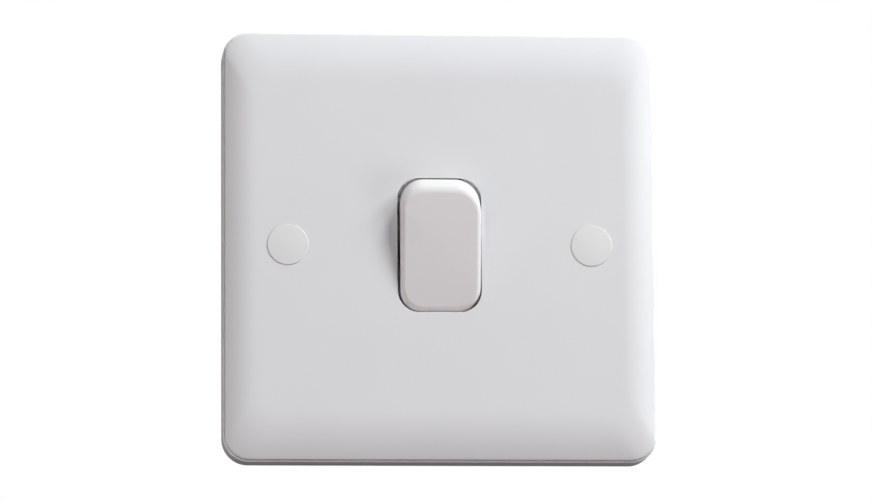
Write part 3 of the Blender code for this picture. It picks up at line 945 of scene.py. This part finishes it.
def make_housing():
    front, rear = housing_low.y + STOP_HIGH, housing_high.y
    half_x, half_z = housing_high.x, housing_high.z
    sections = [(front, half_x - 0.2, half_z - 0.2, HOUSING_CORNER - 0.2)]
    sections.append((front + 0.2, half_x, half_z, HOUSING_CORNER))
    for turn in quarter(8):
        inset = HOUSING_BACK_EDGE * (1 - math.cos(turn))
        y = rear - HOUSING_BACK_EDGE * (1 - math.sin(turn))
        sections.append((y, half_x - inset, half_z - inset, HOUSING_CORNER - 0.6 * inset))
    housing = loft("rear_housing_shape", sections, steps=12)
    chamber_low = (-CHAMBER_HALF_X, front - 1, -CHAMBER_HALF_Z)
    cuts = [block("chamber", chamber_low, (CHAMBER_HALF_X, HOUSING_FLOOR, CHAMBER_HALF_Z))]
    adds = []
    bay_half = BLOCK_HALF_W + TOUCH_GAP
    access = [(0, ACCESS_FLOOR)] + flared_hole(ACCESS_R, ACCESS_FLOOR, rear, 0.2)
    entry = [(0, -ENTRY_DEEP)] + flared_hole(ENTRY_R, -ENTRY_DEEP, 0.0, 0.35)
    for name, sign in (("upper", 1), ("lower", -1)):
        low, high = box_mm("terminal_" + name)
        middle = (low + high) / 2
        outer = middle.z + sign * (BLOCK_LONG / 2 + TOUCH_GAP)
        z_from, z_to = sorted((sign * 9.0, outer))
        cuts.append(block("bay", (-bay_half, front - 1, z_from), (bay_half, HOUSING_FLOOR, z_to)))
        cuts.append(turned("access", access, 48, at(0, 0, middle.z)))
        flip = ALONG_Z if sign > 0 else ALONG_Z @ Matrix.Rotation(math.pi, 4, "X")
        cuts.append(turned("entry", entry, 48, at(0, CONDUCTOR_Y, sign * half_z) @ flip))
        z_from, z_to = reach_on(sign, (11.0, 13.4))
        for x_from, x_to in ((5.3, 7.7), (-7.7, -5.3)):
            low = (x_from, housing_low.y, z_from)
            adds.append(block("stop", low, (x_to, front + 1.0, z_to), 0.2, 2))
    low, high = box_mm("terminal_common")
    middle = (low + high) / 2
    outer = middle.x + BLOCK_LONG / 2 + TOUCH_GAP
    cuts.append(block("bay", (7.5, front - 1, -bay_half), (outer, HOUSING_FLOOR, bay_half)))
    cuts.append(turned("access", access, 48, at(middle.x, 0, 0)))
    cuts.append(turned("entry", entry, 48, at(half_x, CONDUCTOR_Y, 0) @ ALONG_X))
    for low_x, high_x, low_z, high_z in (
        (-18.4, -9.9, -8.2, 8.2),
        (-18.4, -6.4, -15.4, -10.6),
        (6.4, 18.4, 10.6, 15.4),
    ):
        low, high = (low_x, CORE_FLOOR, low_z), (high_x, rear + 1, high_z)
        cuts.append(block("core", low, high, 0.6, 4))
    well = [(0, -3.0), (FASTENER_HOLE_R, -3.0), (FASTENER_HOLE_R, WELL_FLOOR)]
    well += flared_hole(WELL_R, WELL_FLOOR, rear, 0.2)
    for sign in (-1, 1):
        place = at(sign * FASTENER_X, 0, -sign * FASTENER_Z)
        cuts.append(turned("well", well, 48, place))
    steps = [("DIFFERENCE", tool) for tool in cuts] + [("UNION", tool) for tool in adds]
    carve(housing, steps)
    smooth(housing, 30)
    flatten_shading(housing)
    show(housing, "rear_housing", HOUSING)


def make_caps():
    front = CAP_FRONT + CAP_SUNK
    for side, sign in (("left", -1), ("right", 1)):
        node = "cap_" + side
        low, high = box_mm(node)
        rear = high.y
        floor = rear - 0.4
        profile = [(0, front)]
        for turn in quarter(7):
            out = CAP_R - CAP_EDGE * (1 - math.sin(turn))
            profile.append((out, front + CAP_EDGE * (1 - math.cos(turn))))
        profile += [(CAP_R, floor), (COUNTERBORE_R - 0.2, floor)]
        profile += [(COUNTERBORE_R - 0.2, rear - 0.1), (COUNTERBORE_R - 0.3, rear), (0, rear)]
        cap = turned(node + "_shape", profile, 96, at(sign * SCREW_X, 0, 0))
        smooth(cap, 40)
        show(cap, node, CAP)


# Stage: floor, lights, camera


def make_floor():
    bm = bmesh.new()
    bmesh.ops.create_grid(bm, x_segments=1, y_segments=1, size=1.0)
    mesh = bpy.data.meshes.new("floor")
    bm.to_mesh(mesh)
    bm.free()
    floor = bpy.data.objects.new("floor", mesh)
    floor.location = (0, 0, -0.3)
    floor.scale = (4, 4, 1)
    floor.visible_diffuse = False
    floor.visible_glossy = False
    floor.visible_shadow = False
    bpy.context.scene.collection.objects.link(floor)
    n = Nodes("floor_pale")
    tone = n.ramp(n.noise(3.0, 3.0), [(0.3, (0.80, 0.80, 0.80)), (0.7, (0.83, 0.83, 0.83))])
    n.link(tone, n.shader.inputs["Base Color"])
    n.link(tone, n.shader.inputs["Emission Color"])
    n.set(Roughness=0.8, Emission_Strength=FLOOR_GLOW)
    mesh.materials.append(n.material)


# Studio lamps: angle from the plate's normal, angle round it from the right, size, power, tint
NEUTRAL = (1.0, 1.0, 1.0)
COOL = (0.96, 0.985, 1.0)
WARM = (1.0, 0.90, 0.90)
LIGHTS = {
    "key_upper_right": (70, 60, 0.25, 5.9, COOL),
    "key_right": (70, 30, 0.25, 2.7, COOL),
    "front_right": (52, 22, 0.25, 1.7, COOL),
    "low_right": (70, 330, 0.25, 2.0, WARM),
    "low_left": (52, 202, 0.8, 3.3, WARM),
    "high_left": (52, 157, 0.8, 1.0, NEUTRAL),
    "back_top": (130, 90, 0.6, 5.5, NEUTRAL),
    "back_right": (130, 15, 0.6, 6.5, NEUTRAL),
}
LAMP_AWAY = 0.9
WORLD_LIGHT = 0.01
FLOOR_GLOW = 0.9


def make_lights():
    for name, (tilt, around, size, power, tint) in LIGHTS.items():
        lamp = bpy.data.lights.new(name, "AREA")
        lamp.shape = "DISK"
        lamp.size = size
        lamp.energy = power
        lamp.color = tint
        holder = bpy.data.objects.new(name, lamp)
        tilt, around = math.radians(tilt), math.radians(around)
        aside = math.sin(tilt)
        way = Vector((aside * math.cos(around), -math.cos(tilt), aside * math.sin(around)))
        holder.location = way * LAMP_AWAY
        holder.rotation_mode = "QUATERNION"
        holder.rotation_quaternion = way.to_track_quat("Z", "Y")
        holder.visible_camera = False
        bpy.context.scene.collection.objects.link(holder)


def make_world():
    """White behind the object, and an even soft light on it."""
    world = bpy.data.worlds.new("studio")
    bpy.context.scene.world = world
    world.use_nodes = True
    tree = world.node_tree
    tree.nodes.clear()
    seen = tree.nodes.new("ShaderNodeBackground")
    seen.inputs["Color"].default_value = (1.0, 1.0, 1.0, 1.0)
    seen.inputs["Strength"].default_value = 1.0
    lit = tree.nodes.new("ShaderNodeBackground")
    way = tree.nodes.new("ShaderNodeTexCoord").outputs["Generated"]
    split = tree.nodes.new("ShaderNodeSeparateXYZ")
    tree.links.new(way, split.inputs["Vector"])
    sky = tree.nodes.new("ShaderNodeMapRange")
    sky.inputs["From Min"].default_value = -0.4
    sky.inputs["From Max"].default_value = 0.8
    sky.inputs["To Min"].default_value = 0.12
    sky.inputs["To Max"].default_value = 1.0
    tree.links.new(split.outputs["Z"], sky.inputs["Value"])
    tree.links.new(sky.outputs["Result"], lit.inputs["Color"])
    lit.inputs["Strength"].default_value = WORLD_LIGHT
    path = tree.nodes.new("ShaderNodeLightPath")
    mix = tree.nodes.new("ShaderNodeMixShader")
    out = tree.nodes.new("ShaderNodeOutputWorld")
    tree.links.new(path.outputs["Is Camera Ray"], mix.inputs["Fac"])
    tree.links.new(lit.outputs[0], mix.inputs[1])
    tree.links.new(seen.outputs[0], mix.inputs[2])
    tree.links.new(mix.outputs[0], out.inputs["Surface"])


CAMERA_AZIMUTH = -4.6
CAMERA_ELEVATION = -8.8
CAMERA_ROLL = -0.37
CAMERA_DISTANCE = 1.1
CAMERA_LENS = 227.5
AIM_RIGHT = -0.0001
AIM_UP = 0.0004


def make_camera():
    data = bpy.data.cameras.new("camera")
    data.lens = CAMERA_LENS
    data.sensor_width = 36.0
    data.clip_start, data.clip_end = 0.05, 20.0
    camera = bpy.data.objects.new("camera", data)
    azimuth, elevation = math.radians(CAMERA_AZIMUTH), math.radians(CAMERA_ELEVATION)
    back = Vector(
        (
            math.sin(azimuth) * math.cos(elevation),
            -math.cos(azimuth) * math.cos(elevation),
            math.sin(elevation),
        )
    )
    look = (-back).to_track_quat("-Z", "Y").to_matrix().to_4x4()
    look = look @ Matrix.Rotation(math.radians(CAMERA_ROLL), 4, "Z")
    aim = look @ Vector((AIM_RIGHT, AIM_UP, 0))
    camera.matrix_world = Matrix.Translation(aim + back * CAMERA_DISTANCE) @ look
    bpy.context.scene.collection.objects.link(camera)
    bpy.context.scene.camera = camera


make_plate()
make_rocker()
make_plunger()
make_spring()
make_contacts()
make_bracket()
make_terminals()
make_screws()
make_housing()
make_caps()
make_floor()
make_lights()
make_world()
make_camera()

bpy.context.scene.view_settings.view_transform = "Standard"
